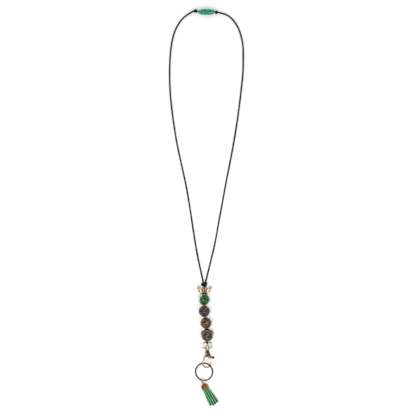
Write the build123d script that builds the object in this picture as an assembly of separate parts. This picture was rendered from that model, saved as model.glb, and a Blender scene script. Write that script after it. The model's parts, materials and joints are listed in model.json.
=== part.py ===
from build123d import *
import os
from math import atan2, cos, degrees, pi, radians, sin, tan

# A beaded neck lanyard laid flat on a table. Millimetres, +Z up, +Y towards the clasp.
# The origin is on the table under the centre of the split key ring.

# ---- driving dimensions ----
CORD_R = 1.0                  # neck cord, 2 mm
CORD_Z = CORD_R + 0.05        # height of a cord lying on the table
STRAND_GAP = 1.05             # the two strands in the beads lie this far above and below their line
STRAND_LEAD, STRAND_BEND_R = 1.2, 3.0   # the strands straighten here before they round the bar
BAR_CLEARANCE = 0.05
BORE_R = 2.6                  # bead bores pass both strands
THROUGH = 40.0                # a bore cutter longer than any bead
BORE_FIT = 0.02               # the tube's clearance in its bead
BEAD_R = 7.8
BEAD_HALF = 6.7               # half a round bead's length
CORE_R = 3.0                  # outside of the metal tube in a bead's bore
FLANGE_R, FLANGE_T = 3.9, 0.7

WING_T, WING_SHARE = 2.6, 0.52
SHIELD_T, SHIELD_SHARE, SHIELD_CORE_HALF = 7.8, 0.58, 6.8

CLASP_Y, CLASP_Z, CLASP_R = 483.0, 4.25, 4.2
CLASP_LEFT, CLASP_SEAM, CLASP_RIGHT = -8.7, 3.1, 14.0
PEG_R, PEG_LENGTH, PEG_CLEARANCE = 2.0, 6.0, 0.1
KNOT_LEFT_AT, KNOT_RIGHT_AT = (-11.2, 484.2, 3.9), (16.4, 482.6, 4.0)

SWIVEL_X, SWIVEL_Z = 4.1, 3.9   # the hook's swivel axis runs along Y here
BAR_R = 0.6
BAR_TOP_Y, BAR_LOW_Y = 38.95, 32.0
STRAP_WIDTH = 11.4            # between the side wires' centres
BOSS_R, BOSS_LOW_Y, BOSS_TOP_Y = 2.3, 30.15, 33.6
RIVET_R, RIVET_LOW_Y, RUNNING_FIT = 1.1, 28.0, 0.06
COLLAR_LOW_Y, COLLAR_TOP_Y = 27.0, 30.0

HOOK_ROLL = 12.5              # the hook lies rolled about its swivel, left leg up
BODY_T, SLOT_T = 3.6, 2.0
HOOK_R = 0.95                 # the round leg of the hook
HOOK_PATH = [(-3.5, 21.0), (-5.9, 12.0), (-5.9, 6.2), (4.9, 6.2), (4.9, 12.5)]
HOOK_PATH_RADII = [8.0, 4.5, 4.5]
PIVOT_X, PIVOT_Y = 2.4, 20.9  # gate pivot, X from the swivel axis
PIN_R = 0.5
KNUCKLE_R, GATE_T, GATE_Z = 1.45, 1.1, -0.4
GATE_END, LEVER_END, LEVER_PAD_R = (4.5, 13.9), (8.7, 18.9), 1.3
SPRING_R, SPRING_WIRE_R = 0.85, 0.14

RING_R, RING_WIDE, RING_WIRE_T = 11.6, 1.8, 0.62
RING_PITCH, RING_TURNS, RING_START = 0.68, 1.95, 215
RING_Z, RING_TILT = 3.4, 12.0  # the ring lies tilted, right side up
JUMP_AT = (-2.3, -10.9, 4.0)
JUMP_R, JUMP_WIRE_R = 3.3, 0.45

EYE_AT = (-2.3, -14.0, 5.25)
EYE_R, EYE_WIRE_R, STEM_LENGTH = 1.35, 0.4, 2.2
TASSEL_TURN = 29.0            # the tassel points this far from -Y towards +X
CAP_R, CAP_WALL, CAP_START, CAP_END = 5.2, 0.6, 1.85, 9.5
CORE_START, FRINGE_END = 5.2, 35.0

FROM_LOW = (Align.CENTER, Align.CENTER, Align.MIN)

# Routes, chosen by hand. Each cord lies on the table and climbs to its knots.
LEFT_ROUTE = [
    (-13.0, 484.9, 3.2), (-21.5, 480.5, CORD_Z), (-31.0, 472.8, CORD_Z), (-40.3, 457.0, CORD_Z),
    (-45.2, 433.0, CORD_Z), (-46.6, 402.0, CORD_Z), (-45.6, 372.0, CORD_Z), (-42.0, 341.0, CORD_Z),
    (-37.2, 309.0, CORD_Z), (-30.6, 279.0, CORD_Z), (-24.0, 250.0, CORD_Z), (-19.0, 220.0, CORD_Z),
    (-14.6, 190.0, CORD_Z), (-10.3, 163.0, 1.6), (-5.6, 140.0, 3.2), (-1.0, 119.6, 5.0),
]
RIGHT_UPPER_ROUTE = [
    (18.6, 482.2, 3.4), (27.6, 481.2, CORD_Z), (37.8, 474.6, CORD_Z), (47.2, 460.5, CORD_Z),
    (52.5, 440.0, CORD_Z), (52.5, 420.0, CORD_Z),
]
RIGHT_LOWER_ROUTE = [
    (52.5, 420.0, CORD_Z), (52.5, 403.0, CORD_Z), (49.6, 376.0, CORD_Z), (45.9, 346.0, CORD_Z),
    (41.2, 315.0, CORD_Z), (35.6, 285.0, CORD_Z), (29.7, 256.0, CORD_Z), (24.8, 228.0, CORD_Z),
    (19.4, 200.0, CORD_Z), (14.8, 173.0, 1.4), (8.4, 146.0, 3.0), (1.8, 119.6, 5.0),
]
# The line midway between the two strands, from the gathering knot to the strap ring.
STRAND_LINE = [
    (0.3, 114.0, 5.2), (-0.1, 105.3, 7.8), (-0.1, 89.2, 7.85), (0.9, 73.9, 7.9),
    (4.2, 57.9, 7.85), (4.7, 43.4, 5.7),
]
KNOT_AT = (0.3, 117.3, 5.0)


# ---- helpers ----
def along(start, end, share=0.5):
    """A plane a share of the way between two points, its Z along the line."""
    a, b = Vector(*start), Vector(*end)
    return Plane(origin=a + (b - a) * share, x_dir=(1, 0, 0), z_dir=b - a)


def corner_radii(points):
    """The largest radius that each corner of a route has room for."""
    radii = []
    for before, here, after in zip(points, points[1:], points[2:]):
        run_in, run_out = Vector(*here) - Vector(*before), Vector(*after) - Vector(*here)
        half_turn = radians(run_in.get_angle(run_out) / 2)
        radii.append(0.45 * min(run_in.length, run_out.length) / tan(half_turn))
    return radii


def tube(name, points, radius, radii=None):
    """A cord along straight runs joined by tangent arcs."""
    radii = radii or corner_radii(points)
    path = FilletPolyline(*points, radius=radii)
    start = Plane(origin=path @ 0, z_dir=path % 0)
    solid = sweep(start * Circle(radius), path=path)
    share = solid.volume / (pi * radius**2 * path.length)
    print(name, "length", round(path.length, 1), "volume share", round(share, 4),
          "radii", [round(r, 1) for r in radii])
    return solid


def rod(start, end, radius):
    """A straight round bar between two points."""
    length = (Vector(*end) - Vector(*start)).length
    base = Plane(origin=start, z_dir=Vector(*end) - Vector(*start))
    return base * Cylinder(radius, length, align=FROM_LOW)


def turned(points):
    """A solid of revolution about Z from (radius, height) points."""
    outline = Plane.XZ * make_face(Polyline(*points, close=True))
    return revolve(outline, axis=Axis.Z)


def coil(radius, pitch, turns, section):
    """A wire coil about Z, centred on the origin."""
    path = Helix(pitch=pitch, height=pitch * turns, radius=radius)
    start = Plane(origin=path @ 0, x_dir=(1, 0, 0), z_dir=path % 0)
    solid = sweep(start * section, path=path, is_frenet=True)
    return Pos(0, 0, -pitch * turns / 2) * solid


# ---- cords and knots ----
def bead_strand():
    upper = [(x, y, z + STRAND_GAP) for x, y, z in STRAND_LINE]
    lower = [(x, y, z - STRAND_GAP) for x, y, z in STRAND_LINE]
    loop_r = BAR_R + BAR_CLEARANCE + CORD_R
    bend_y = BAR_TOP_Y - loop_r
    bend = [(SWIVEL_X, bend_y, SWIVEL_Z + loop_r), (SWIVEL_X, bend_y, SWIVEL_Z - loop_r)]
    lead_y = BAR_TOP_Y + STRAND_LEAD
    lead = [(SWIVEL_X, lead_y, SWIVEL_Z + loop_r), (SWIVEL_X, lead_y, SWIVEL_Z - loop_r)]
    points = upper + [lead[0]] + bend + [lead[1]] + lower[::-1]
    radii = corner_radii(points)
    first = len(upper)
    radii[first - 1] = STRAND_BEND_R
    radii[first] = loop_r * 0.995
    radii[first + 1] = loop_r * 0.995
    radii[first + 2] = STRAND_BEND_R
    return tube("bead_strand", points, CORD_R, radii)


def knot(at, half_x, half_y, half_z):
    """A plain lump with the outer shape of a pulled knot."""
    lump = Sphere(half_y)
    return Pos(*at) * scale(lump, by=(half_x / half_y, 1, half_z / half_y))


# ---- breakaway clasp: both halves about the X axis at the clasp ----
def clasp_plane():
    return Plane(origin=(0, CLASP_Y, CLASP_Z), x_dir=(0, 1, 0), z_dir=(1, 0, 0))


def clasp_peg_half():
    shell = turned([
        (0, CLASP_LEFT), (2.4, CLASP_LEFT), (3.4, CLASP_LEFT + 2.4), (4.0, CLASP_LEFT + 6.0),
        (CLASP_R, CLASP_SEAM - 1.6), (CLASP_R, CLASP_SEAM - 0.5), (3.9, CLASP_SEAM - 0.1),
        (0, CLASP_SEAM - 0.1),
    ])
    tip = CLASP_SEAM + PEG_LENGTH
    peg = turned([
        (0, CLASP_SEAM - 1.0), (PEG_R - 0.3, CLASP_SEAM - 1.0), (PEG_R - 0.3, tip - 2.6),
        (PEG_R, tip - 1.9), (PEG_R, tip - 1.1), (PEG_R - 0.6, tip), (0, tip),
    ])
    return clasp_plane() * (shell + peg)


def clasp_socket_half():
    shell = turned([
        (0, CLASP_SEAM + 0.1), (3.9, CLASP_SEAM + 0.1), (CLASP_R, CLASP_SEAM + 0.5),
        (CLASP_R, CLASP_SEAM + 2.6), (4.0, CLASP_RIGHT - 3.4), (3.5, CLASP_RIGHT - 1.0),
        (3.0, CLASP_RIGHT), (0, CLASP_RIGHT),
    ])
    bore = turned([
        (0, CLASP_SEAM - 1), (PEG_R + PEG_CLEARANCE, CLASP_SEAM - 1),
        (PEG_R + PEG_CLEARANCE, CLASP_SEAM + PEG_LENGTH + 0.5), (0, CLASP_SEAM + PEG_LENGTH + 0.5),
    ])
    return clasp_plane() * (shell - bore)


# ---- beads: each is built about Z and set on its stretch of the strand line ----
def round_bead():
    ball = Sphere(BEAD_R) & Box(4 * BEAD_R, 4 * BEAD_R, 2 * BEAD_HALF)
    return ball - Cylinder(CORE_R + BORE_FIT, THROUGH)


def bead_core(half_length):
    """The flanged metal tube that lines a bead's bore."""
    tube_part = Cylinder(CORE_R, 2 * half_length)
    flange = Cylinder(FLANGE_R, FLANGE_T)
    lift = half_length + FLANGE_T / 2
    body = tube_part + Pos(0, 0, lift) * flange + Pos(0, 0, -lift) * flange
    return body - Cylinder(BORE_R, THROUGH)


def wing_bead():
    """A turned barrel with an upswept wing each side. Local +Z runs down the strand."""
    barrel = turned([(0, -3.6), (3.3, -3.6), (3.9, -2.0), (3.9, 2.2), (3.4, 3.7), (0, 3.7)])
    outline = Polyline(
        (2.0, 3.4), (5.6, 1.6), (8.6, -2.0), (10.2, -6.4), (8.4, -4.9), (6.2, -3.9), (2.0, -2.6),
        close=True,
    )
    blade = extrude(Plane.XZ * make_face(outline), amount=WING_T / 2, both=True)
    body = barrel + blade + mirror(blade, about=Plane.YZ)
    return body - Cylinder(BORE_R, THROUGH)


def shield_bead():
    """A five-sided plate bead, wide at its shoulders and drawn in towards the foot."""
    outline = Polyline(
        (0, -8.0), (3.6, -7.2), (8.3, -4.9), (7.6, 3.6), (5.2, 6.6), (0, 8.2),
        (-5.2, 6.6), (-7.6, 3.6), (-8.3, -4.9), (-3.6, -7.2), close=True,
    )
    body = extrude(Plane.XZ * make_face(outline), amount=SHIELD_T / 2, both=True)
    body = chamfer(body.edges().filter_by(lambda e: abs(e.center().Y) > 0.49 * SHIELD_T), 1.1)
    return body - Cylinder(CORE_R + BORE_FIT, THROUGH)


def shield_core():
    """A plain metal tube through the plate bead, flush at both ends."""
    return Cylinder(CORE_R, 2 * SHIELD_CORE_HALF) - Cylinder(BORE_R, THROUGH)


# ---- strap ring and swivel ----
def strap_ring():
    """A rectangular wire ring with a round boss for the swivel in its lower bar."""
    left, right = SWIVEL_X - STRAP_WIDTH / 2, SWIVEL_X + STRAP_WIDTH / 2
    corners = [(left, BAR_TOP_Y), (right, BAR_TOP_Y), (right, BAR_LOW_Y), (left, BAR_LOW_Y)]
    body = swivel_frame() * Pos(0, 0, BOSS_LOW_Y) * Cylinder(BOSS_R, BOSS_TOP_Y - BOSS_LOW_Y, align=FROM_LOW)
    for (x_a, y_a), (x_b, y_b) in zip(corners, corners[1:] + corners[:1]):
        body += rod((x_a, y_a, SWIVEL_Z), (x_b, y_b, SWIVEL_Z), BAR_R)
        body += Pos(x_b, y_b, SWIVEL_Z) * Sphere(BAR_R)
    return body - swivel_frame() * Cylinder(RIVET_R + RUNNING_FIT, 4 * BOSS_TOP_Y)


def swivel_frame():
    """A plane on the swivel axis with its Z along +Y, so turned shapes run along the hook."""
    return Plane(origin=(SWIVEL_X, 0, SWIVEL_Z), x_dir=(1, 0, 0), z_dir=(0, 1, 0))


def swivel_rivet():
    """The stem from the collar through the boss, with a domed head above it."""
    head = BOSS_TOP_Y + 0.08
    return swivel_frame() * turned([
        (0, RIVET_LOW_Y), (RIVET_R, RIVET_LOW_Y), (RIVET_R, head), (2.9, head),
        (2.9, head + 0.5), (2.4, head + 1.3), (1.4, head + 1.9), (0, head + 2.0),
    ])


# ---- hook: drawn flat about the swivel axis, then rolled ----
def rolled(shape):
    return Pos(SWIVEL_X, 0, SWIVEL_Z) * Rot(0, HOOK_ROLL, 0) * shape


def plate(points, thickness):
    return extrude(make_face(Polyline(*points, close=True)), amount=thickness / 2, both=True)


def hook_foot():
    """The round leg that runs down, under and up to the tip that the gate closes on."""
    path = FilletPolyline(*HOOK_PATH, radius=HOOK_PATH_RADII)
    return sweep(Plane(origin=path @ 0, z_dir=path % 0) * Circle(HOOK_R), path=path)


def hook_body():
    """A tapered crown with a window, the hooked foot, and a slot that holds the gate."""
    crown = plate([
        (-2.2, COLLAR_LOW_Y + 0.6), (2.2, COLLAR_LOW_Y + 0.6), (4.2, 22.2), (4.1, 19.6), (2.9, 19.0),
        (1.0, 19.4), (-1.6, 20.4), (-4.7, 19.4), (-3.1, 23.0),
    ], BODY_T)
    crown = fillet(crown.edges().filter_by(Axis.Z), 0.5)
    crown = chamfer(crown.edges().filter_by(lambda e: abs(e.center().Z) > 0.49 * BODY_T), 0.35)
    window = Pos(-0.9, 23.8) * extrude(SlotOverall(3.2, 1.5, rotation=90), amount=BODY_T, both=True)
    slot = Pos(PIVOT_X + 1.0, PIVOT_Y - 0.3) * Box(5.2, 4.6, SLOT_T)
    pin_hole = Pos(PIVOT_X, PIVOT_Y) * Cylinder(PIN_R, 3 * BODY_T)
    body = rolled(crown + hook_foot() - window - slot - pin_hole)
    low, top = COLLAR_LOW_Y, COLLAR_TOP_Y
    collar = swivel_frame() * turned([
        (0, low), (2.3, low), (2.3, low + 1.1), (1.9, low + 1.35), (1.9, low + 1.65),
        (2.5, low + 1.9), (2.5, top), (RIVET_R, top), (RIVET_R, RIVET_LOW_Y), (0, RIVET_LOW_Y),
    ])
    return body + collar


def hook_gate():
    """The sprung gate and its thumb lever, on one knuckle."""
    knuckle = Pos(PIVOT_X, PIVOT_Y) * Cylinder(KNUCKLE_R, GATE_T)
    arms = [(GATE_END, 0.9), (LEVER_END, 0.85)]
    body = knuckle
    for (x, y), half_width in arms:
        run = Vector(x - PIVOT_X, y - PIVOT_Y)
        bar = SlotCenterToCenter(run.length, 2 * half_width)
        middle = Pos(PIVOT_X + run.X / 2, PIVOT_Y + run.Y / 2)
        body += middle * Rot(0, 0, degrees(atan2(run.Y, run.X))) * extrude(bar, GATE_T / 2, both=True)
    pad = Pos(LEVER_END[0], LEVER_END[1]) * Cylinder(LEVER_PAD_R, 1.9)
    body = Pos(0, 0, GATE_Z) * (body + fillet(pad.edges(), 0.5))
    return rolled(body - Pos(PIVOT_X, PIVOT_Y) * Cylinder(PIN_R + 0.05, 3 * BODY_T))


def gate_pin():
    return rolled(Pos(PIVOT_X, PIVOT_Y) * Cylinder(PIN_R, BODY_T))


def gate_spring():
    """A short coil on the pin, beside the gate's knuckle in the slot."""
    spring = coil(SPRING_R, 2.2 * SPRING_WIRE_R, 1.5, Circle(SPRING_WIRE_R))
    return rolled(Pos(PIVOT_X, PIVOT_Y, 0.58) * spring)


# ---- rings ----
def split_ring():
    """Two flat turns of one wire, lying tilted with the right side up."""
    section = RectangleRounded(RING_WIDE, RING_WIRE_T, 0.2)
    ring = coil(RING_R, RING_PITCH, RING_TURNS, section)
    return Pos(0, 0, RING_Z) * Rot(0, -RING_TILT, 0) * Rot(0, 0, RING_START) * ring


def jump_ring():
    return Pos(*JUMP_AT) * Rot(0, 90, 0) * Torus(JUMP_R, JUMP_WIRE_R)


# ---- tassel: built about its own axis from the eye, local Y up ----
def tassel_frame():
    turn = radians(TASSEL_TURN)
    return Plane(origin=EYE_AT, x_dir=(cos(turn), sin(turn), 0), z_dir=(sin(turn), -cos(turn), 0))


def tassel_eye():
    """A ring that lies flat round the jump ring's wire, on a stem riveted into the cap."""
    ring = Rot(90, 0, 0) * Torus(EYE_R, EYE_WIRE_R)
    stem = Pos(0, 0, EYE_R) * Cylinder(EYE_WIRE_R, STEM_LENGTH, align=FROM_LOW)
    return tassel_frame() * (ring + stem)


def tassel_cap():
    """A thin domed cup with a rolled groove above its mouth."""
    inside = CAP_R - CAP_WALL
    shell = turned([
        (0, CAP_START), (1.5, CAP_START + 0.05), (3.2, CAP_START + 0.8), (4.5, CAP_START + 2.2),
        (5.1, CAP_START + 3.9), (CAP_R, CAP_END - 2.2), (CAP_R - 0.3, CAP_END - 1.6),
        (CAP_R, CAP_END - 1.0), (CAP_R, CAP_END), (inside, CAP_END),
        (inside, CAP_START + 3.0), (0, CAP_START + 1.4),
    ])
    stem_hole = Cylinder(EYE_WIRE_R, 3 * CAP_END)
    return tassel_frame() * (shell - stem_hole)


def tassel_core():
    """The rolled upper band of the strips, glued inside the cap."""
    return tassel_frame() * Pos(0, 0, CORE_START) * Cylinder(
        CAP_R - CAP_WALL, CAP_END - CORE_START, align=FROM_LOW)


def tassel_fringe():
    """The outer shape of the hanging strips: round at the cap, spread flat at the free ends."""
    sections = [(CAP_END, 0, 4.4, 4.4), (21.0, -1.3, 5.7, 3.6), (FRINGE_END, -2.5, 7.2, 2.6)]
    faces = [Pos(0, drop, z) * Ellipse(half_x, half_y) for z, drop, half_x, half_y in sections]
    return tassel_frame() * loft(faces)


# ---- the assembly ----
def on_strand(shape, index, share=0.5):
    """Sets a bead, built about Z, on a run of the strand line."""
    return along(STRAND_LINE[index], STRAND_LINE[index + 1], share) * shape


def build_parts():
    parts = {
        "neck_cord_left": tube("neck_cord_left", LEFT_ROUTE, CORD_R),
        "neck_cord_right_upper": tube("neck_cord_right_upper", RIGHT_UPPER_ROUTE, CORD_R),
        "neck_cord_right_lower": tube("neck_cord_right_lower", RIGHT_LOWER_ROUTE, CORD_R),
        "bead_strand": bead_strand(),
        "gathering_knot": knot(KNOT_AT, 4.4, 3.7, 3.9),
        "clasp_knot_left": knot(KNOT_LEFT_AT, 2.7, 2.5, 2.5),
        "clasp_knot_right": knot(KNOT_RIGHT_AT, 2.6, 2.4, 2.5),
        "clasp_peg_half": clasp_peg_half(),
        "clasp_socket_half": clasp_socket_half(),
        "wing_bead": on_strand(wing_bead(), 0, WING_SHARE),
        "shield_bead": on_strand(shield_bead(), 4, SHIELD_SHARE),
        "shield_core": on_strand(shield_core(), 4, SHIELD_SHARE),
        "strap_ring": strap_ring(),
        "swivel_rivet": swivel_rivet(),
        "hook_body": hook_body(),
        "hook_gate": hook_gate(),
        "gate_pin": gate_pin(),
        "gate_spring": gate_spring(),
        "split_ring": split_ring(),
        "jump_ring": jump_ring(),
        "tassel_eye": tassel_eye(),
        "tassel_cap": tassel_cap(),
        "tassel_core": tassel_core(),
        "tassel_fringe": tassel_fringe(),
    }
    for index, colour in enumerate(["green", "dark", "red"], start=1):
        parts[f"{colour}_bead"] = on_strand(round_bead(), index)
        parts[f"{colour}_core"] = on_strand(bead_core(BEAD_HALF), index)
    return parts


os.makedirs("parts", exist_ok=True)
for node, shape in build_parts().items():
    export_step(shape, f"parts/{node}.step")
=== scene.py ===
import json
import math
import random

import bmesh
import bpy
from mathutils import Matrix, Vector, noise


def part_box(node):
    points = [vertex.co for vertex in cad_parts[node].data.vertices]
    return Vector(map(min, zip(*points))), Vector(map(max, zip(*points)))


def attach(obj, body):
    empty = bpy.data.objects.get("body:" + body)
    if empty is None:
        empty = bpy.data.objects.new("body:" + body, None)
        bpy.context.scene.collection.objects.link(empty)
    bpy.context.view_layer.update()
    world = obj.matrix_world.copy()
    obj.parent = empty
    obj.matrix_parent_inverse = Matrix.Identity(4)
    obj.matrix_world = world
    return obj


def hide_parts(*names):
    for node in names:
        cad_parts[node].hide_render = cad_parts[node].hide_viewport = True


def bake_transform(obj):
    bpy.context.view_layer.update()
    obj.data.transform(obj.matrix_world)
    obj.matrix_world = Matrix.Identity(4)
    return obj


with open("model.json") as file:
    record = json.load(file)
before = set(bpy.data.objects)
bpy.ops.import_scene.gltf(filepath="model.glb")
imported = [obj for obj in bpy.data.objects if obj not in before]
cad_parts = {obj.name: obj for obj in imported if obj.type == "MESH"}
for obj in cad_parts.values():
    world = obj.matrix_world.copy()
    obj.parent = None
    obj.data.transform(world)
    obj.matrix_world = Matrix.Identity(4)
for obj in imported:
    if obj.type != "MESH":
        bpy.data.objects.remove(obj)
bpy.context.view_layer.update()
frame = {"nodes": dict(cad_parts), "record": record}

MM = 0.001
CORD_D = 2.0 * MM
CORD_FUZZ = 1.08                  # drawn this much thicker than the CAD cord, for its loose fibres
CORD_SIDES = 14
CORD_Z = 1.05
random.seed(7)

# The cords' routes, in millimetres, as in the CAD model.
LEFT_ROUTE = [
    (-13.0, 484.9, 3.2), (-21.5, 480.5, CORD_Z), (-31.0, 472.8, CORD_Z), (-40.3, 457.0, CORD_Z),
    (-45.2, 433.0, CORD_Z), (-46.6, 402.0, CORD_Z), (-45.6, 372.0, CORD_Z), (-42.0, 341.0, CORD_Z),
    (-37.2, 309.0, CORD_Z), (-30.6, 279.0, CORD_Z), (-24.0, 250.0, CORD_Z), (-19.0, 220.0, CORD_Z),
    (-14.6, 190.0, CORD_Z), (-10.3, 163.0, 1.6), (-5.6, 140.0, 3.2), (-1.0, 119.6, 5.0),
]
RIGHT_ROUTE = [
    (18.6, 482.2, 3.4), (27.6, 481.2, CORD_Z), (37.8, 474.6, CORD_Z), (47.2, 460.5, CORD_Z),
    (52.5, 440.0, CORD_Z), (52.5, 420.0, CORD_Z), (52.5, 403.0, CORD_Z), (49.6, 376.0, CORD_Z),
    (45.9, 346.0, CORD_Z), (41.2, 315.0, CORD_Z), (35.6, 285.0, CORD_Z), (29.7, 256.0, CORD_Z),
    (24.8, 228.0, CORD_Z), (19.4, 200.0, CORD_Z), (14.8, 173.0, 1.4), (8.4, 146.0, 3.0),
    (1.8, 119.6, 5.0),
]


# ---- small helpers ----
def metres(point):
    return Vector(point) * MM


def centre_of(node):
    low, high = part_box(node)
    return (Vector(low) + Vector(high)) / 2


def joint_named(name):
    return next(j for j in frame["record"]["behaviour"]["joints"] if j["name"] == name)


def joint_axes(name):
    """A joint's position and unit axis."""
    joint = joint_named(name)
    return Vector(joint["pos_m"]), Vector(joint["axis"]).normalized()


def basis(origin, forward, up=Vector((0, 0, 1))):
    """A matrix whose Z runs forward and whose Y is as near up as it can be."""
    z = Vector(forward).normalized()
    x = Vector(up).cross(z).normalized()
    y = z.cross(x)
    return Matrix.Translation(origin) @ Matrix((x, y, z)).transposed().to_4x4()


def mesh_object(name, verts, faces, smooth=True):
    mesh = bpy.data.meshes.new(name)
    mesh.from_pydata([tuple(v) for v in verts], [], faces)
    mesh.update()
    piece = bpy.data.objects.new(name, mesh)
    bpy.context.collection.objects.link(piece)
    if smooth:
        mesh.shade_smooth()
    return piece


def finish_piece(piece, body, slot, material, *nodes):
    piece.data.materials.clear()
    piece.data.materials.append(material)
    if body:
        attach(piece, body)
    if nodes:
        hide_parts(*nodes)
    return piece


def grid_faces(rows, columns, wrap_rows=False):
    """Quads of a grid that closes on itself along its columns."""
    faces = []
    for row in range(rows if wrap_rows else rows - 1):
        for column in range(columns):
            a = row * columns + column
            b = row * columns + (column + 1) % columns
            c = ((row + 1) % rows) * columns
            faces.append((a, b, c + (column + 1) % columns, c + column))
    return faces


def smooth_profile(points, steps=5):
    """Rounds a closed outline's corners by sampling a quadratic spline through its edges' middles."""
    rounded = []
    count = len(points)
    for index in range(count):
        before, here, after = (Vector(points[(index + k - 1) % count]) for k in range(3))
        start, end = (before + here) / 2, (here + after) / 2
        for step in range(steps):
            t = step / steps
            rounded.append(start * (1 - t) ** 2 + here * 2 * t * (1 - t) + end * t * t)
    return rounded


def lathe(name, profile, matrix, segments=72, relief=None):
    """Turns a closed (radius, height) outline in millimetres about Z. relief moves points outward."""
    rows = []
    for radius, height in profile:
        for step in range(segments):
            angle = 2 * math.pi * step / segments
            grown = radius + (relief(angle, radius, height) if relief else 0.0)
            rows.append(matrix @ (Vector((grown * math.cos(angle), grown * math.sin(angle), height)) * MM))
    return mesh_object(name, rows, grid_faces(len(profile), segments, wrap_rows=True))


def frames_along(points):
    """A side and an up direction at each point of a line, carried along without twisting."""
    side = Vector((0, 0, 1)).cross(points[1] - points[0])
    side = side.normalized() if side.length > 1e-9 else Vector((1, 0, 0))
    frames = []
    for index, point in enumerate(points):
        ahead = points[min(index + 1, len(points) - 1)]
        behind = points[max(index - 1, 0)]
        tangent = (ahead - behind).normalized()
        side = (side - tangent * side.dot(tangent)).normalized()
        frames.append((side, tangent.cross(side)))
    return frames


def tube_mesh(name, points, section, sides=12, closed=False):
    """A tube of section(index, angle) -> radius round a line of points, with flat ends."""
    rows = []
    frames = frames_along(points)
    for index, (point, (side, up)) in enumerate(zip(points, frames)):
        for step in range(sides):
            angle = 2 * math.pi * step / sides
            rows.append(point + (side * math.cos(angle) + up * math.sin(angle)) * section(index, angle))
    faces = grid_faces(len(points), sides, wrap_rows=closed)
    if not closed:
        faces.append(tuple(reversed(range(sides))))
        faces.append(tuple(range((len(points) - 1) * sides, len(points) * sides)))
    piece = mesh_object(name, rows, faces)
    fix_normals(piece)
    return piece


def fix_normals(piece):
    work = bmesh.new()
    work.from_mesh(piece.data)
    bmesh.ops.recalc_face_normals(work, faces=work.faces)
    work.to_mesh(piece.data)
    work.free()


def join_pieces(name, pieces):
    """One object from several meshes."""
    work = bmesh.new()
    for piece in pieces:
        work.from_mesh(piece.data)
        bpy.data.objects.remove(piece)
    mesh = bpy.data.meshes.new(name)
    work.to_mesh(mesh)
    work.free()
    mesh.shade_smooth()
    joined = bpy.data.objects.new(name, mesh)
    bpy.context.collection.objects.link(joined)
    return joined


# ---- materials: all procedural, in object space ----
class Paint:
    """A Principled material with helpers for its colour, roughness and bump nodes."""

    def __init__(self, name, metallic=0.0, roughness=0.4):
        self.material = bpy.data.materials.new(name)
        self.material.use_nodes = True
        self.tree = self.material.node_tree
        self.shader = self.tree.nodes["Principled BSDF"]
        self.shader.inputs["Metallic"].default_value = metallic
        self.shader.inputs["Roughness"].default_value = roughness
        self.coords = self.tree.nodes.new("ShaderNodeTexCoord").outputs["Object"]

    def link(self, source, target):
        self.tree.links.new(source, target)

    def noise(self, scale, detail=4.0, distortion=0.0, stretch=None):
        node = self.tree.nodes.new("ShaderNodeTexNoise")
        node.inputs["Scale"].default_value = scale
        node.inputs["Detail"].default_value = detail
        node.inputs["Distortion"].default_value = distortion
        self.link(self.placed(stretch), node.inputs["Vector"])
        return node.outputs["Fac"]

    def placed(self, stretch):
        """Object coordinates, stretched by (sx, sy, sz) if asked."""
        if stretch is None:
            return self.coords
        node = self.tree.nodes.new("ShaderNodeMapping")
        node.inputs["Scale"].default_value = stretch
        self.link(self.coords, node.inputs["Vector"])
        return node.outputs["Vector"]

    def attribute(self, name):
        node = self.tree.nodes.new("ShaderNodeAttribute")
        node.attribute_name = name
        return node.outputs["Fac"]

    def ramp(self, source, stops):
        node = self.tree.nodes.new("ShaderNodeValToRGB")
        elements = node.color_ramp.elements
        while len(elements) < len(stops):
            elements.new(0.5)
        for element, (place, colour) in zip(elements, stops):
            element.position = place
            element.color = (*colour, 1.0)
        self.link(source, node.inputs["Fac"])
        return node.outputs["Color"]

    def mix(self, share, first, second):
        node = self.tree.nodes.new("ShaderNodeMix")
        node.data_type = "RGBA"
        self.link(share, node.inputs["Factor"])
        self.link(first, node.inputs[6])
        self.link(second, node.inputs[7])
        return node.outputs[2]

    def spread(self, source, low, high):
        """A 0 to 1 signal moved to run from low to high."""
        node = self.tree.nodes.new("ShaderNodeMapRange")
        node.inputs["To Min"].default_value = low
        node.inputs["To Max"].default_value = high
        self.link(source, node.inputs["Value"])
        return node.outputs["Result"]

    def colour(self, output):
        self.link(output, self.shader.inputs["Base Color"])

    def roughness(self, source, low, high):
        self.link(self.spread(source, low, high), self.shader.inputs["Roughness"])

    def bump(self, source, depth, strength=1.0):
        node = self.tree.nodes.new("ShaderNodeBump")
        node.inputs["Strength"].default_value = strength
        node.inputs["Distance"].default_value = depth
        self.link(source, node.inputs["Height"])
        self.link(node.outputs["Normal"], self.shader.inputs["Normal"])

    def set(self, **values):
        for name, value in values.items():
            self.shader.inputs[name.replace("_", " ")].default_value = value
        return self


def cord_material():
    """Black waxed cord: fine fibres under a dull, uneven sheen."""
    paint = Paint("cord_black", roughness=0.6)
    fibres = paint.noise(2600, 6)
    paint.colour(paint.ramp(fibres, [(0.3, (0.003, 0.003, 0.003)), (0.75, (0.018, 0.016, 0.014))]))
    paint.roughness(paint.noise(300), 0.42, 0.75)
    paint.bump(fibres, 0.12 * MM)
    paint.set(Sheen_Weight=0.02, Specular_IOR_Level=0.15)
    return paint.material


def clasp_material():
    """Glossy moulded green plastic with darker marbling and faint scuffs."""
    paint = Paint("clasp_green", roughness=0.22)
    marble = paint.noise(240, 5, 1.5, stretch=(0.5, 1.2, 1.2))
    paint.colour(paint.ramp(marble, [
        (0.34, (0.0, 0.13, 0.06)), (0.48, (0.008, 0.31, 0.17)), (0.68, (0.04, 0.48, 0.28))]))
    paint.roughness(paint.noise(900, 5), 0.12, 0.34)
    paint.bump(paint.noise(1500, 5), 0.02 * MM, 0.5)
    paint.set(Coat_Weight=0.35, Coat_Roughness=0.08)
    return paint.material


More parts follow.
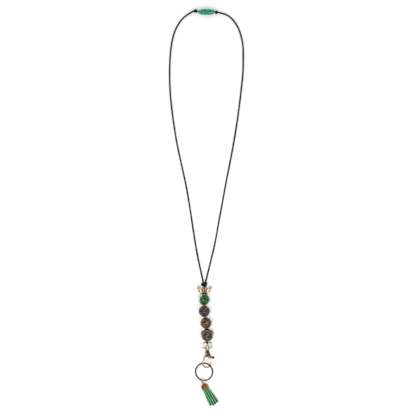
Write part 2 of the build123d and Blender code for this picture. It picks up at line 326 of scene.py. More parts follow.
def metal_material(name, dark, light, rough=(0.16, 0.38), scale=420.0):
    """Plated metal: tone drifts, fine scratches and slightly duller patches."""
    paint = Paint(name, metallic=1.0)
    tone = paint.noise(scale, 5, 0.6)
    paint.colour(paint.ramp(tone, [(0.3, dark), (0.7, light)]))
    paint.roughness(paint.noise(scale * 2.2, 6), *rough)
    paint.bump(paint.noise(scale * 5, 6, stretch=(1, 0.2, 1)), 0.02 * MM, 0.6)
    return paint.material


def relief_metal(name, hollow, middle, crest, rough=(0.25, 0.5)):
    """Cast metal, darker in the hollows of its relief and rubbed bright on the crests."""
    paint = Paint(name, metallic=0.92)
    height = paint.attribute("relief")
    base = paint.ramp(height, [(0.08, hollow), (0.45, middle), (0.85, crest)])
    stain = paint.ramp(paint.noise(500, 5), [(0.35, (0.55, 0.5, 0.45)), (0.7, (1.0, 1.0, 1.0))])
    node = paint.tree.nodes.new("ShaderNodeMix")
    node.data_type = "RGBA"
    node.blend_type = "MULTIPLY"
    node.inputs["Factor"].default_value = 0.6
    paint.link(base, node.inputs[6])
    paint.link(stain, node.inputs[7])
    paint.colour(node.outputs[2])
    paint.roughness(paint.noise(900, 6), *rough)
    paint.bump(paint.noise(2200, 6), 0.04 * MM, 0.7)
    return paint.material


def green_glass_material():
    """Deep green glass with lighter drifts and a silvery foil crescent on one shoulder."""
    paint = Paint("bead_green_glass", roughness=0.06)
    drift = paint.noise(150, 4, 2.0)
    green = paint.ramp(drift, [
        (0.32, (0.0, 0.012, 0.001)), (0.5, (0.0, 0.07, 0.004)), (0.7, (0.002, 0.2, 0.010))])
    foil = paint.ramp(paint.noise(700, 4), [(0.3, (0.35, 0.33, 0.34)), (0.5, (0.95, 0.92, 0.95))])
    paint.colour(paint.mix(paint.attribute("foil"), green, foil))
    paint.set(Coat_Weight=0.5, Coat_Roughness=0.03, IOR=1.45, Specular_IOR_Level=0.35)
    paint.bump(paint.noise(260, 3), 0.05 * MM, 0.3)
    return paint.material


def inlaid_material(name, ground, patch, thread, spot):
    """Lampwork: a mottled ground with patches, metal threads along cell edges and raised spots."""
    paint = Paint(name, roughness=0.14)
    blotch = paint.noise(330, 5, 2.4)
    body = paint.ramp(blotch, [(0.44, ground), (0.54, patch[0]), (0.66, patch[1])])
    spots = paint.ramp(paint.noise(800), [(0.3, spot[0]), (0.7, spot[1])])
    body = paint.mix(paint.attribute("spot"), body, spots)
    gold = paint.ramp(paint.noise(900), [(0.3, thread[0]), (0.7, thread[1])])
    thread_share = paint.attribute("thread")
    paint.colour(paint.mix(thread_share, body, gold))
    paint.link(paint.spread(thread_share, 0.0, 0.9), paint.shader.inputs["Metallic"])
    paint.roughness(paint.noise(600), 0.08, 0.3)
    paint.bump(paint.noise(900, 4), 0.05 * MM, 0.4)
    paint.set(Coat_Weight=0.3, Coat_Roughness=0.06, Specular_IOR_Level=0.25)
    return paint.material


def suede_material():
    """Green suede: a short velvety nap whose tone drifts, mixed towards a painted shade colour by the shade
    attribute: on the lower strips, at the strips' edges and on the core inside the cap.
    """
    paint = Paint("suede_green", roughness=0.85)
    nap = paint.noise(520, 6, 0.8)
    soft = paint.ramp(nap, [(0.3, (0.09, 0.40, 0.16)), (0.7, (0.27, 0.64, 0.34))])
    # painted shade: the dark colour that the shade attribute mixes in
    deep = paint.ramp(nap, [(0.3, (0.0, 0.02, 0.004)), (0.7, (0.002, 0.06, 0.014))])
    paint.colour(paint.mix(paint.attribute("shade"), soft, deep))
    paint.roughness(nap, 0.75, 0.95)
    paint.bump(paint.noise(4200, 5), 0.1 * MM, 0.8)
    paint.set(Sheen_Weight=0.15, Sheen_Roughness=0.5, Sheen_Tint=(0.5, 0.9, 0.6, 1.0))
    paint.set(Specular_IOR_Level=0.2)
    return paint.material


def two_tone_metal(name, pale, dark):
    """Plate that runs from pale to dark as a piece's "dark" attribute rises."""
    paint = Paint(name, metallic=1.0)
    tone = paint.noise(420, 5, 0.6)
    bright = paint.ramp(tone, [(0.3, pale[0]), (0.7, pale[1])])
    deep = paint.ramp(tone, [(0.3, dark[0]), (0.7, dark[1])])
    paint.colour(paint.mix(paint.attribute("dark"), bright, deep))
    paint.roughness(paint.noise(900, 6), 0.14, 0.3)
    paint.bump(paint.noise(2100, 6, stretch=(1, 0.2, 1)), 0.02 * MM, 0.6)
    return paint.material


CORD = cord_material()
CLASP = clasp_material()
GOLD_TONES = ((0.20, 0.14, 0.07), (0.62, 0.52, 0.33))
GUNMETAL_TONES = ((0.008, 0.006, 0.005), (0.035, 0.024, 0.02))
GOLD = metal_material("gold_plate", *GOLD_TONES, (0.12, 0.26))
COPPER = metal_material("copper_gold_plate", (0.10, 0.03, 0.015), (0.52, 0.26, 0.12), (0.06, 0.14), 260.0)
JUMP_GOLD = metal_material("jump_ring_plate", (0.40, 0.22, 0.09), (0.80, 0.52, 0.27), (0.12, 0.22))
GUNMETAL = metal_material("gunmetal", *GUNMETAL_TONES, (0.2, 0.35))
SPRING = metal_material("spring_steel", (0.4, 0.4, 0.4), (0.65, 0.65, 0.65))
HOOK_PLATE = two_tone_metal("hook_plate", GOLD_TONES, ((0.02, 0.014, 0.009), (0.10, 0.07, 0.04)))
GATE_PLATE = two_tone_metal("gate_plate", ((0.16, 0.12, 0.07), (0.46, 0.38, 0.25)), GUNMETAL_TONES)
SUEDE = suede_material()


# ---- camera, floor and light ----
PANEL_COUNT, PANEL_START = 4, 45          # softboxes round the table, from the upper right
PANEL_OUT, PANEL_UP, PANEL_SIZE = 1.9, 1.5, 2.6
PANEL_POWER = [13.2, 16.8, 11.5, 11.0]
FLOOR_GLOW = 0.27
STRIP_AT = [(-0.18, -0.06), (0.20, -0.06)]   # strip lights beside the camera
STRIP_HEIGHT, STRIP_SIZE, STRIP_SLANT, STRIP_POWER = 0.75, (0.08, 0.3), -25, 1.35
FLOOR_SPAN, FLOOR_AHEAD = 6.0, 0.2
FLOOR_DROP = 0.02 * MM            # keeps the floor clear of faces that lie on the table
SKY_STRENGTH = 0.46
SKY_RIM, SKY_TOP = (0.9, 0.9, 0.88), (0.05, 0.05, 0.05)
SKY_RIM_AT, SKY_TOP_AT = 0.45, 0.85
PHOTO_WIDTH = 559.1 * MM          # what the picture spans at the table
VIEW_CENTRE = metres((5.24, 219.9, 0))
CAMERA_HEIGHT = 2.6


def make_camera():
    camera_data = bpy.data.cameras.new("camera")
    camera_data.sensor_width = 36.0
    camera_data.lens = camera_data.sensor_width * CAMERA_HEIGHT / PHOTO_WIDTH
    camera_data.clip_end = 20.0
    camera = bpy.data.objects.new("camera", camera_data)
    camera.location = VIEW_CENTRE + Vector((0, 0, CAMERA_HEIGHT))
    bpy.context.collection.objects.link(camera)
    bpy.context.scene.camera = camera


def area_light(name, at, aim, size, energy):
    light_data = bpy.data.lights.new(name, "AREA")
    light_data.shape = "ELLIPSE"
    light_data.size, light_data.size_y = size
    light_data.energy = energy
    light = bpy.data.objects.new(name, light_data)
    light.location = at
    light.rotation_euler = (Vector(aim) - Vector(at)).to_track_quat("-Z", "Y").to_euler()
    bpy.context.collection.objects.link(light)
    return light


def make_studio():
    """A white floor inside a ring of softboxes, under a sky that is bright at its rim and dark overhead."""
    make_floor()
    make_lights()
    make_sky()
    bpy.context.scene.view_settings.view_transform = "Standard"


def make_floor():
    signs = ((-1, -1), (1, -1), (1, 1), (-1, 1))
    corners = [(x * FLOOR_SPAN, y * FLOOR_SPAN + FLOOR_AHEAD, -FLOOR_DROP) for x, y in signs]
    floor = mesh_object("floor", corners, [(0, 1, 2, 3)], smooth=False)
    paint = Paint("floor_white", roughness=0.9)
    paint.colour(paint.ramp(paint.noise(3.0), [(0.3, (0.93, 0.93, 0.93)), (0.7, (0.95, 0.95, 0.95))]))
    paint.set(Emission_Color=(1.0, 1.0, 1.0, 1.0), Emission_Strength=FLOOR_GLOW)
    floor.data.materials.append(paint.material)


def make_lights():
    for index in range(PANEL_COUNT):
        turn = math.radians(PANEL_START + 360 * index / PANEL_COUNT)
        at = VIEW_CENTRE + Vector((PANEL_OUT * math.cos(turn), PANEL_OUT * math.sin(turn), PANEL_UP))
        area_light(f"panel_{index}", at, VIEW_CENTRE, (PANEL_SIZE, PANEL_SIZE), PANEL_POWER[index])
    for index, (x, y) in enumerate(STRIP_AT):
        strip = area_light(f"strip_{index}", (x, y, STRIP_HEIGHT), (x, y, 0), STRIP_SIZE, STRIP_POWER)
        strip.rotation_euler.z = math.radians(STRIP_SLANT)


def make_sky():
    world = bpy.data.worlds.new("studio")
    world.use_nodes = True
    tree = world.node_tree
    background = tree.nodes["Background"]
    background.inputs["Strength"].default_value = SKY_STRENGTH
    split = tree.nodes.new("ShaderNodeSeparateXYZ")
    ramp = tree.nodes.new("ShaderNodeValToRGB")
    stops = ((SKY_RIM_AT, SKY_RIM), (SKY_TOP_AT, SKY_TOP))
    for element, (place, colour) in zip(ramp.color_ramp.elements, stops):
        element.position = place
        element.color = (*colour, 1.0)
    tree.links.new(tree.nodes.new("ShaderNodeTexCoord").outputs["Generated"], split.inputs[0])
    tree.links.new(split.outputs["Z"], ramp.inputs["Fac"])
    tree.links.new(ramp.outputs["Color"], background.inputs["Color"])
    bpy.context.scene.world = world


# ---- neck cords ----
def route_line(route):
    """The smooth line that a route's points control, as points in metres."""
    data = bpy.data.curves.new("route", "CURVE")
    data.dimensions = "3D"
    data.resolution_u = 40
    spline = data.splines.new("NURBS")
    spline.points.add(len(route) - 1)
    for control, point in zip(spline.points, route):
        control.co = (*metres(point), 1.0)
    spline.order_u = 3
    spline.use_endpoint_u = True
    holder = bpy.data.objects.new("route", data)
    bpy.context.collection.objects.link(holder)
    line = bpy.data.meshes.new_from_object(holder)
    points = [vertex.co.copy() for vertex in line.vertices]
    bpy.data.objects.remove(holder)
    bpy.data.meshes.remove(line)
    return points


def cord_section(seed):
    """A nearly round cord whose thickness drifts and whose three plaited strands show as low ridges."""
    def section(index, angle):
        drift = noise.noise(Vector((index * 0.03, seed, 0))) * 0.09
        ridge = 0.045 * math.sin(3 * angle + index * 0.55)
        return CORD_D / 2 * (CORD_FUZZ + drift + ridge)
    return section


def neck_cord(name, route, seed):
    points = route_line(route)
    piece = tube_mesh(name, points, cord_section(seed), sides=CORD_SIDES)
    return piece


def make_neck_cords():
    left = neck_cord("cord_left", LEFT_ROUTE, 1.3)
    finish_piece(left, "root", "cord", CORD, "neck_cord_left")
    right = neck_cord("cord_right", RIGHT_ROUTE, 6.1)
    finish_piece(right, None, "cord", CORD, "neck_cord_right_upper", "neck_cord_right_lower")
    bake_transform(right)


# ---- knots ----
KNOT_POINTS = 120
TREFOIL_REACH = 2.65              # how far the plain trefoil line spreads from its centre
INNER_TURN = 0.42                 # how much smaller a second cord's turn is, inside the first
MAIN_KNOT_CORD, END_KNOT_CORD = 1.25 * MM, 0.95 * MM


def trefoil(size):
    """The line of an overhand knot, stretched to reach size (x, y, z) from its centre."""
    points = []
    for step in range(KNOT_POINTS):
        t = 2 * math.pi * step / (KNOT_POINTS - 1)
        x = (math.sin(t) + 2 * math.sin(2 * t)) / TREFOIL_REACH
        y = (math.cos(t) - 2 * math.cos(2 * t)) / TREFOIL_REACH
        z = -math.sin(3 * t)
        points.append(Vector((x * size[0], y * size[1], z * size[2])))
    return points


def knot_core(name, centre, radius):
    """A ball in millimetres that fills the middle of a knot."""
    lifts = [math.pi * k / 12 - math.pi / 2 for k in range(13)]
    outline = [(radius * math.cos(lift), radius * math.sin(lift)) for lift in lifts]
    return lathe(f"{name}_core", outline, Matrix.Translation(centre), 24)


def knot_piece(name, node, cord_radius, strands, turn):
    """A pulled knot that fills its CAD lump: a cord's crossing turn, and any second cord's inside it."""
    low, high = (Vector(corner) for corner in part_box(node))
    centre, half = (low + high) / 2, (high - low) / 2
    reach = [axis - cord_radius for axis in half]
    spin = Matrix.Rotation(turn, 3, "Z")
    section = lambda index, angle: cord_radius * (1 + 0.05 * math.sin(3 * angle + index * 0.5))
    pieces = []
    for strand in range(strands):
        shrink = 1.0 - INNER_TURN * strand
        line = [centre + spin @ p for p in trefoil([r * shrink for r in reach])]
        pieces.append(tube_mesh(f"{name}_turn", line, section))
    pieces.append(knot_core(name, centre, min(reach) / MM * 0.75))
    return join_pieces(name, pieces)


def make_knots():
    main = knot_piece("knot_main", "gathering_knot", MAIN_KNOT_CORD, 2, 0.35)
    finish_piece(main, "root", "cord", CORD, "gathering_knot")
    left = knot_piece("knot_left", "clasp_knot_left", END_KNOT_CORD, 1, 1.2)
    finish_piece(left, "root", "cord", CORD, "clasp_knot_left")
    right = knot_piece("knot_right", "clasp_knot_right", END_KNOT_CORD, 1, 2.1)
    finish_piece(right, "clasp_socket", "cord", CORD, "clasp_knot_right")


# ---- beads ----
BEAD_SEGMENTS, BEAD_ROWS = 120, 72
BEAD_RADIUS, BEAD_HALF, BEAD_HOLE = 7.65, 6.7, 3.05
BORE_WALL = 3.4                   # a bead's relief leaves everything nearer its axis smooth
CORE_RADIUS, CORE_HALF, CORE_HOLE = 3.0, 6.72, 2.6


def bead_matrix(joint, cores):
    """The frame of a bead: Z down its strand, X across the table, centred on its nodes."""
    _, axis = joint_axes(joint)
    return basis(centre_of(cores), axis)


def store(piece, name, values):
    """Keeps one number a vertex on the mesh, which its material reads."""
    layer = piece.data.attributes.new(name, "FLOAT", "POINT")
    layer.data.foreach_set("value", values)


def step_between(low, high, value):
    share = min(max((value - low) / (high - low), 0.0), 1.0)
    return share * share * (3 - 2 * share)


def bead_outline(radius, half, hole, rows):
    """A ball cut off at both ends, rounded into its hole."""
    outline = []
    tip = math.asin((half - 0.35) / radius)
    for row in range(rows + 1):
        lift = -tip + 2 * tip * row / rows
        outline.append((radius * math.cos(lift), radius * math.sin(lift)))
    outline += [(outline[-1][0] - 0.25, half), (hole + 0.3, half), (hole, half - 0.3)]
    return outline + [(hole, 0.3 - half), (hole + 0.3, -half), (outline[0][0] - 0.25, -half)]


def direction(angle, radius, height):
    return Vector((radius * math.cos(angle), radius * math.sin(angle), height)).normalized()


def round_bead(name, joint, relief):
    outline = bead_outline(BEAD_RADIUS, BEAD_HALF, BEAD_HOLE, BEAD_ROWS)
    return lathe(name, outline, bead_matrix(joint, name), BEAD_SEGMENTS, relief)


def local_directions(piece, joint, node):
    """Each vertex's direction from the bead's centre, in the bead's own frame."""
    back = bead_matrix(joint, node).inverted()
    return [(back @ vertex.co).normalized() for vertex in piece.data.vertices]


def crescent(facing):
    """How far a direction lies in the foil crescent along the bead's left shoulder."""
    reach = math.hypot(facing.x, facing.z)
    turn = abs(math.atan2(-facing.z, -facing.x) - 0.25)
    band = step_between(0.70, 0.78, reach) * step_between(0.97, 0.92, reach)
    broken = step_between(-0.45, -0.15, noise.noise(facing * 5.5))
    return band * broken * step_between(1.0, 0.75, turn) * (1.0 if facing.y > 0 else 0.0)


def make_green_bead():
    swell = lambda angle, radius, height: 0.06 * noise.noise(direction(angle, radius, height) * 2.2)
    piece = round_bead("green_bead", "green_spin", swell)
    store(piece, "foil", [crescent(d) for d in local_directions(piece, "green_spin", "green_bead")])
    finish_piece(piece, "green", "green_glass", green_glass_material(), "green_bead")


def cell_edge(facing, scale, seed):
    """Nearness to the border between the two closest cells of a cell pattern, and the cell's own number."""
    place = facing * scale + Vector((seed, seed * 0.7, seed * 1.3))
    distances, points = noise.voronoi(place)
    own = noise.cell(points[0] * 7.31 + Vector((0.5, 0.5, 0.5)))
    return distances[1] - distances[0], own


def inlaid_bead(name, joint, body, slot, material, seed, scale, share):
    """A lampwork bead: fine metal threads between raised cells, and some cells filled as spots."""
    def relief(angle, radius, height):
        if radius < BORE_WALL:
            return 0.0
        gap, own = cell_edge(direction(angle, radius, height), scale, seed)
        thread = step_between(0.13, 0.04, gap)
        dome = step_between(0.08, 0.5, gap)
        return 0.10 * thread + 0.16 * dome * (1 if own > share else 0.4) - 0.06

    piece = round_bead(name, joint, relief)
    threads, spots = [], []
    for facing in local_directions(piece, joint, name):
        gap, own = cell_edge(facing, scale, seed)
        patchy = step_between(-0.1, 0.15, noise.noise(facing * 1.7 + Vector((seed, 0, 0))))
        threads.append(step_between(0.13, 0.05, gap) * patchy)
        spots.append(step_between(0.1, 0.2, gap) if own > share else 0.0)
    store(piece, "thread", threads)
    store(piece, "spot", spots)
    finish_piece(piece, body, slot, material, name)


# each lampwork bead's colours: the ground, then the darker and lighter patch, thread and spot
DARK_TONES = (
    (0.002, 0.002, 0.003),
    ((0.014, 0.012, 0.02), (0.15, 0.13, 0.18)),
    ((0.12, 0.07, 0.04), (0.42, 0.30, 0.2)),
    ((0.002, 0.002, 0.004), (0.01, 0.009, 0.016)),
)
RED_TONES = (
    (0.008, 0.004, 0.003),
    ((0.08, 0.035, 0.025), (0.24, 0.13, 0.13)),
    ((0.16, 0.10, 0.035), (0.6, 0.45, 0.2)),
    ((0.02, 0.0, 0.002), (0.10, 0.001, 0.008)),
)


def make_inlaid_beads():
    dark = inlaid_material("bead_dark_lampwork", *DARK_TONES)
    inlaid_bead("dark_bead", "dark_spin", "dark", "dark_glass", dark, 3.1, 2.9, 0.1)
    red = inlaid_material("bead_red_lampwork", *RED_TONES)
    inlaid_bead("red_bead", "red_spin", "red", "red_glass", red, 8.4, 2.7, 0.45)


def core_piece(name, joint, body):
    """The flanged tube in a bead's bore: stepped, beaded flanges that show as the necks between beads."""
    low, half, hole = CORE_RADIUS, CORE_HALF, CORE_HOLE
    outline = [
        (hole, half + 0.6), (2.9, half + 0.68), (3.3, half + 0.62), (3.8, half + 0.35), (3.85, half + 0.05),
        (low, half), (low, -half), (3.85, -half - 0.05), (3.8, -half - 0.35), (3.3, -half - 0.62),
        (2.9, -half - 0.68), (hole, -half - 0.6),
    ]
    knurl = lambda angle, radius, height: 0.07 * math.cos(24 * angle) if radius > 3.6 else 0.0
    piece = lathe(name, outline, bead_matrix(joint, name), 192, knurl)
    finish_piece(piece, body, "gold", GOLD, name)


# ---- wing bead ----
def leaf(name, matrix, root, bow, tip, width, thickness, rows=26, sides=20):
    """A feather: a flattened blade that widens and closes to a point, with a raised quill."""
    verts, relief = [], []
    root, bow, tip = Vector(root), Vector(bow), Vector(tip)
    for row in range(rows):
        s = row / (rows - 1)
        centre = root * (1 - s) ** 2 + bow * 2 * s * (1 - s) + tip * s * s
        tangent = ((bow - root) * (1 - s) + (tip - bow) * s).normalized()
        across = Vector((0, 1, 0)).cross(tangent).normalized()
        spread = (0.35 + 0.65 * math.sin(math.pi * min(s * 1.15, 1.0)) ** 0.8) * (1 - s ** 6) + 0.02
        for side in range(sides):
            angle = 2 * math.pi * side / sides
            quill = 0.35 * math.exp(-(math.cos(angle) / 0.22) ** 2)
            barbs = 0.07 * math.sin(row * 2.1) * abs(math.cos(angle))
            lift = math.sin(angle) * (1 + quill) * (0.55 + 0.45 * (1 - s))
            verts.append(matrix @ ((centre + across * math.cos(angle) * width * (spread + barbs)
                                    + Vector((0, lift * thickness, 0))) * MM))
            relief.append(min(abs(math.sin(angle)) * (0.55 + quill), 1.0))
    faces = grid_faces(rows, sides)
    faces += [tuple(reversed(range(sides))), tuple(range((rows - 1) * sides, rows * sides))]
    piece = mesh_object(name, verts, faces)
    store(piece, "relief", relief)
    fix_normals(piece)
    return piece


WING_TIPS = [(4.3, 5.0), (6.3, 3.4), (8.0, 1.0), (9.3, -2.0), (10.0, -5.4)]
WING_ROOT, FEATHER_THICKNESS = 3.0, 0.75
BARREL_SEGMENTS, BARREL_FLUTES, FLUTED_OUTSIDE = 96, 10, 3.2
BARREL_OUTLINE = [
    (2.65, 5.4), (3.0, 5.6), (3.4, 5.0), (3.25, 3.9), (3.7, 2.7), (3.9, 0.4), (3.6, -1.4), (3.1, -1.8),
    (3.4, -2.2), (3.2, -2.7), (2.65, -2.7),
]
WING_TONES = ((0.13, 0.06, 0.03), (0.70, 0.54, 0.31), (0.98, 0.88, 0.64))


def make_feathers(matrix):
    feathers = []
    for side in (-1, 1):
        for index, (x, z) in enumerate(WING_TIPS):
            layer = 0.28 * (index - 2)
            root = (side * WING_ROOT, layer, 4.4 - 1.1 * index)
            bow = (side * (0.66 * x + 1.2), layer + 0.5, 0.45 * z + 3.6 - 0.5 * index)
            tip = (side * x, layer, z)
            width = 2.2 - 0.14 * index
            feathers.append(leaf(f"feather_{index}", matrix, root, bow, tip, width, FEATHER_THICKNESS))
    return feathers


def make_barrel(matrix):
    """The fluted barrel between the wings."""
    flutes = lambda angle, radius, height: (
        0.12 * math.cos(BARREL_FLUTES * angle) if radius > FLUTED_OUTSIDE else 0.0)
    barrel = lathe("wing_barrel", smooth_profile(BARREL_OUTLINE), matrix, BARREL_SEGMENTS, flutes)
    count = len(barrel.data.vertices)
    turns = [2 * math.pi * (i % BARREL_SEGMENTS) / BARREL_SEGMENTS for i in range(count)]
    store(barrel, "relief", [0.3 + 0.3 * math.cos(BARREL_FLUTES * turn) for turn in turns])
    return barrel


def make_wing_bead():
    matrix = bead_matrix("wing_spin", "wing_bead")
    piece = join_pieces("wing_bead", make_feathers(matrix) + [make_barrel(matrix)])
    metal = relief_metal("wing_gold", *WING_TONES, (0.18, 0.36))
    finish_piece(piece, "wing", "pale_gold", metal, "wing_bead")


# ---- shield bead ----
SHIELD_OUTLINE = [
    (0, -8.2), (3.4, -7.0), (8.6, -5.1), (7.7, 0.5), (7.5, 3.6), (4.8, 6.8), (0, 8.3),
    (-4.8, 6.8), (-7.5, 3.6), (-7.7, 0.5), (-8.6, -5.1), (-3.4, -7.0),
]
SHIELD_RINGS = [1.0, 0.985, 0.955, 0.92] + [0.9 - 0.9 * k / 34 for k in range(34)]
SHIELD_EDGE_HALF, SHIELD_FACE_HALF = 2.5, 3.15
SHIELD_TONES = ((0.006, 0.006, 0.005), (0.035, 0.033, 0.029), (0.21, 0.21, 0.18))
COLLAR_OUTLINE = [(2.65, 8.0), (2.8, 8.25), (3.2, 8.3), (3.5, 8.05), (3.4, 7.4), (2.65, 7.4)]
LINER_OUTLINE = [(2.65, 7.5), (2.98, 7.5), (2.98, -7.5), (2.65, -7.5)]


def shield_relief(x, z, ring):
    """The face's height above its edge, in millimetres: a raised rim round a field of curls."""
    field = step_between(0.84, 0.74, ring)
    rim = step_between(1.0, 0.93, ring) * (1 - 0.6 * field)
    reach, turn = math.hypot(x, z), math.atan2(z, x)
    curl = math.sin(2 * turn + 1.35 * reach) * step_between(0.4, 1.6, reach)
    side_x, side_z = abs(x) - 3.6, z + 1.2
    side_curl = math.cos(2.6 * math.hypot(side_x, side_z) + math.atan2(side_z, side_x))
    boss = step_between(1.5, 0.5, reach)
    pattern = max(curl * step_between(4.6, 3.6, reach), side_curl * step_between(2.8, 3.6, reach), boss)
    return rim * 0.75 + field * 0.62 * max(pattern, -0.2)


def shield_body(matrix):
    """The shield's solid: rings of its outline shrinking to the middle of each face."""
    outline = smooth_profile(SHIELD_OUTLINE, 14)
    lift = SHIELD_FACE_HALF - SHIELD_EDGE_HALF
    back = [(ring, -1) for ring in reversed(SHIELD_RINGS)]
    rows = back + [(1.0, 0)] + [(ring, 1) for ring in SHIELD_RINGS]
    verts, relief = [], []
    for ring, side in rows:
        grow = 1.006 if side == 0 else 1.0
        for point in outline:
            x, z = point.x * ring, point.y * ring
            rise = shield_relief(x, z, ring)
            level = side * (SHIELD_EDGE_HALF + lift * step_between(1.0, 0.9, ring) + rise)
            verts.append(matrix @ (Vector((x * grow, level, z * grow)) * MM))
            relief.append(min(rise / 0.75, 1.0) if side else 0.4)
    count = len(outline)
    faces = grid_faces(len(rows), count)
    faces += [tuple(reversed(range(count))), tuple(range((len(rows) - 1) * count, len(rows) * count))]
    piece = mesh_object("shield_bead", verts, faces)
    store(piece, "relief", relief)
    fix_normals(piece)
    return piece


def shield_tube(matrix):
    """The tube in the shield's bore, with a rounded collar at each end."""
    parts = []
    for flip in (1, -1):
        ring = [(radius, flip * height) for radius, height in smooth_profile(COLLAR_OUTLINE, 4)]
        parts.append(lathe("collar", ring, matrix, 48))
    parts.append(lathe("liner", LINER_OUTLINE, matrix, 48))
    core = join_pieces("shield_core", parts)
    fix_normals(core)
    store(core, "relief", [0.5] * len(core.data.vertices))
    return core


def make_shield_bead():
    matrix = bead_matrix("shield_spin", "shield_bead")
    piece = shield_body(matrix)
    metal = relief_metal("shield_pewter", *SHIELD_TONES, (0.28, 0.48))
    finish_piece(piece, "shield", "pewter", metal, "shield_bead")
    finish_piece(shield_tube(matrix), "shield", "pewter", metal, "shield_core")


# ---- clasp ----
CLASP_AXIS_Y, CLASP_AXIS_Z = 483.0, 4.25
CLASP_SEGMENTS = 90
PEG_OUTLINE = [
    (0.01, -8.6), (1.3, -8.66), (1.8, -8.3), (2.6, -6.8), (3.4, -4.6), (3.95, -1.9), (4.15, 0.4),
    (4.19, 2.0), (4.17, 2.8), (3.95, 3.0), (1.7, 3.0), (1.7, 6.6), (1.98, 7.2),
    (1.98, 8.0), (1.4, 9.05), (0.01, 9.1),
]
SOCKET_OUTLINE = [
    (0.01, 13.98), (2.5, 13.95), (2.9, 13.5), (3.15, 12.4), (3.55, 10.8), (3.9, 8.8), (4.13, 6.4),
    (4.19, 4.4), (4.17, 3.6), (3.95, 3.2), (2.1, 3.2), (2.1, 9.6), (0.01, 9.6),
]


def make_clasp():
    matrix = basis(metres((0, CLASP_AXIS_Y, CLASP_AXIS_Z)), Vector((1, 0, 0)))
    grip = lambda angle, radius, height: 0.05 * math.cos(18 * angle) if 4.1 < radius < 4.3 else 0.0
    halves = (
        ("clasp_peg_half", "root", PEG_OUTLINE),
        ("clasp_socket_half", "clasp_socket", SOCKET_OUTLINE),
    )
    for node, body, outline in halves:
        piece = lathe(node, smooth_profile(outline, 4), matrix, CLASP_SEGMENTS, grip)
        finish_piece(piece, body, "clasp", CLASP, node)


# ---- tassel ----
TASSEL_TURN = math.radians(29.0)
FRINGE_REACH = 34.6
STRIP_HALF_THICK = 0.42
STRIP_HALF_WIDE, STRIP_WIDENS = 0.58, 0.24   # at the cap, and how much more at the free end
STRIP_SECTION = [(-1, -1), (0, -1.05), (1, -1), (1.04, 0), (1, 1), (0, 1.05), (-1, 1), (-1.04, 0)]
CAP_OUTLINE = [
    (0.4, 1.9), (1.2, 1.88), (2.6, 2.25), (3.9, 3.3), (4.8, 4.8), (5.15, 6.4), (5.15, 7.2), (4.85, 7.6),
    (5.15, 8.0), (5.2, 8.9), (5.15, 9.45), (4.65, 9.45), (4.6, 6.0), (4.0, 4.4), (2.4, 3.2), (0.4, 3.0),
]
# each row of strips: how many, where their ends lie (height and half their spread), the radius and the
# first and last turn at which they leave the cap, and how deep in shade they are
FRINGE_ROWS = [
    (5, -1.3, 6.0, 3.8, 176, 4, 0.0),
    (4, -2.7, 4.5, 3.2, 154, 26, 1.0),
    (6, -3.95, 5.6, 3.8, 200, 340, 0.7),
]


def tassel_matrix():
    eye, _ = joint_axes("tassel_swing")
    forward = Vector((math.sin(TASSEL_TURN), -math.cos(TASSEL_TURN), 0))
    return basis(eye, forward)


def make_tassel_cap():
    rope = lambda angle, radius, height: (
        0.1 * math.cos(36 * angle + 6 * height) if 7.8 < height < 8.6 else 0.0)
    piece = lathe("tassel_cap", smooth_profile(CAP_OUTLINE, 6), tassel_matrix(), 144, rope)
    finish_piece(piece, "tassel", "copper_gold", COPPER, "tassel_cap")


def strip_line(row, index):
    """A strip's line from the cap's mouth to its free end, spread flat on the table."""
    count, end_height, half_spread, at_cap, first_turn, last_turn, _ = row
    share = index / (count - 1)
    turn = math.radians(first_turn + (last_turn - first_turn) * share)
    aside = 2 * share - 1
    start = Vector((at_cap * math.cos(turn), at_cap * math.sin(turn), 6.4))
    length = FRINGE_REACH - random.uniform(0.0, 2.0) - 0.9 * abs(aside) ** 3
    end = Vector((half_spread * aside + random.uniform(-0.3, 0.3), end_height, length))
    mouth = Vector((start.x, start.y, 11.0))
    middle = Vector((start.x * 0.36 + end.x * 0.62, start.y * 0.5 + end.y * 0.42, 21.0))
    return [start, mouth, middle, end], turn


def curve_through(points, count):
    """A smooth line through four points, as a Catmull-Rom curve."""
    padded = [points[0] * 2 - points[1]] + points + [points[-1] * 2 - points[-2]]
    line = []
    spans = len(points) - 1
    for step in range(count):
        place = spans * step / (count - 1)
        span = min(int(place), spans - 1)
        t = place - span
        a, b, c, d = padded[span:span + 4]
        line.append(0.5 * (b * 2 + (c - a) * t + (a * 2 - b * 5 + c * 4 - d) * t * t
                           + (b * 3 - a - c * 3 + d) * t ** 3))
    return line


def strip_frames(line, turn, twist):
    """The directions across and out of a strip at each point: wrapped at the cap, flat at the free end."""
    side = 1 if math.sin(turn) >= 0 else -1
    frames = []
    for step in range(len(line)):
        s = step / (len(line) - 1)
        ahead = (line[min(step + 1, len(line) - 1)] - line[max(step - 1, 0)]).normalized()
        flat = step_between(0.15, 0.9, s)
        outward = Vector((math.cos(turn) * (1 - flat), math.sin(turn) * (1 - flat) + flat * side, 0))
        outward = (outward - ahead * outward.dot(ahead)).normalized()
        outward = Matrix.Rotation(twist * s, 3, ahead) @ outward
        frames.append((ahead.cross(outward), outward))
    return frames


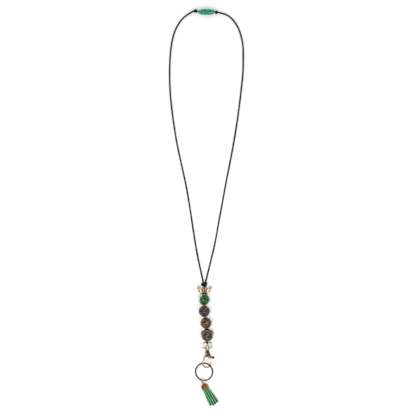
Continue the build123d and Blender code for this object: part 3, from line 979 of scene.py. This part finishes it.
def suede_strip(name, matrix, row, index):
    """A cut strip of suede: rectangular, a little twisted, with soft edges."""
    points, turn = strip_line(row, index)
    line = curve_through(points, 30)
    twist = random.uniform(-0.3, 0.3)
    # painted shade for the whole strip: its row's depth in shade, plus a random extra
    tone = row[-1] + random.uniform(0.0, 0.35)
    section = smooth_profile(STRIP_SECTION, 2)
    verts, shade = [], []
    for step, (centre, (across, outward)) in enumerate(zip(line, strip_frames(line, turn, twist))):
        s = step / (len(line) - 1)
        half_wide = STRIP_HALF_WIDE + STRIP_WIDENS * s
        for u, v in ((p.x, p.y) for p in section):
            ripple = 0.05 * noise.noise(Vector((s * 18, u * 2, index + 31 * row[-1])))
            point = centre + across * (u * half_wide) + outward * (v * STRIP_HALF_THICK + ripple)
            verts.append(matrix @ (point * MM))
            # painted shade deepens towards the strip's edges, beside the gaps between strips
            shade.append(min(1.0, 0.45 * step_between(0.8, 1.0, abs(u)) + tone))
    count = len(section)
    faces = grid_faces(len(line), count)
    faces += [tuple(reversed(range(count))), tuple(range((len(line) - 1) * count, len(line) * count))]
    piece = mesh_object(name, verts, faces)
    store(piece, "shade", shade)
    fix_normals(piece)
    return piece


def make_fringe():
    matrix = tassel_matrix()
    rows = [[suede_strip("strip", matrix, row, index) for index in range(row[0])] for row in FRINGE_ROWS]
    finish_piece(join_pieces("fringe_outer", rows[0] + rows[2]), "tassel", "suede", SUEDE, "tassel_fringe")
    finish_piece(join_pieces("fringe_inner", rows[1]), "tassel", "suede", SUEDE)
    rolled = [(r * (1 + 0.02 * k), h) for k, (r, h) in enumerate([(4.4, 5.4), (4.5, 7.0), (4.45, 9.3)])]
    spiral = lambda angle, radius, height: 0.08 * math.cos(7 * angle) if radius > 1 else 0.0
    core = lathe("tassel_core", [(0.01, 5.3)] + rolled + [(0.01, 9.4)], matrix, 72, spiral)
    # the core is painted in shade, as it sits inside the cap's mouth
    store(core, "shade", [0.8] * len(core.data.vertices))
    finish_piece(core, "tassel", "suede", SUEDE, "tassel_core")


# ---- metal fittings ----
LEVER_SWELL, JUMP_SWELL = 0.28 * MM, 0.15 * MM   # drawn this much fatter than the CAD
# the hook darkens above its legs and inside its left edge, in millimetres from the gate's pivot
PLATE_FROM, PLATE_FULL = -3.4, -1.6
LEFT_FROM, LEFT_FULL, LEFT_SLANT = -4.6, -3.8, 0.13
LEVER_FROM, LEVER_FULL, LEVER_SLANT = 0.1, 0.9, 0.35


def paint_cad(node, material):
    """A CAD piece keeps its shape and takes a finished material."""
    piece = frame["nodes"][node]
    piece.data.materials.clear()
    piece.data.materials.append(material)
    return piece


def swollen_copy(node, body, slot, material, by, shares):
    """A copy of a CAD piece, each vertex moved out along its normal by its share of a distance."""
    mesh = frame["nodes"][node].data.copy()
    normals = [vertex.normal.copy() for vertex in mesh.vertices]
    for vertex, normal, share in zip(mesh.vertices, normals, shares):
        vertex.co += normal * by * share
    piece = bpy.data.objects.new(f"{node}_worn", mesh)
    bpy.context.collection.objects.link(piece)
    return finish_piece(piece, body, slot, material, node)


def hook_darkness(offset):
    inside = step_between(LEFT_FROM, LEFT_FULL, offset.x - LEFT_SLANT * offset.y)
    return step_between(PLATE_FROM, PLATE_FULL, offset.y) * inside


def paint_hook():
    """The hook is pale at its legs and dark on its plates; its gate is pale with a dark thumb lever."""
    pivot, _ = joint_axes("gate_open")
    body = paint_cad("hook_body", HOOK_PLATE)
    offsets = [(body.matrix_world @ vertex.co - pivot) / MM for vertex in body.data.vertices]
    store(body, "dark", [hook_darkness(offset) for offset in offsets])
    corners = [(vertex.co - pivot) / MM for vertex in frame["nodes"]["hook_gate"].data.vertices]
    lever = [step_between(LEVER_FROM, LEVER_FULL, p.x + LEVER_SLANT * p.y) for p in corners]
    store(swollen_copy("hook_gate", "gate", "gunmetal", GATE_PLATE, LEVER_SWELL, lever), "dark", lever)


def make_fittings():
    for node in ("strap_ring", "swivel_rivet", "gate_pin"):
        paint_cad(node, GOLD)
    paint_cad("split_ring", GUNMETAL)
    paint_hook()
    paint_cad("tassel_eye", JUMP_GOLD)
    wire = [1.0] * len(frame["nodes"]["jump_ring"].data.vertices)
    swollen_copy("jump_ring", "connector", "copper_gold", JUMP_GOLD, JUMP_SWELL, wire)
    paint_cad("gate_spring", SPRING)
    paint_cad("bead_strand", CORD)


make_camera()
make_studio()
make_neck_cords()
make_knots()
make_green_bead()
make_inlaid_beads()
for colour in ("green", "dark", "red"):
    core_piece(f"{colour}_core", f"{colour}_spin", colour)
make_wing_bead()
make_shield_bead()
make_clasp()
make_tassel_cap()
make_fringe()
make_fittings()
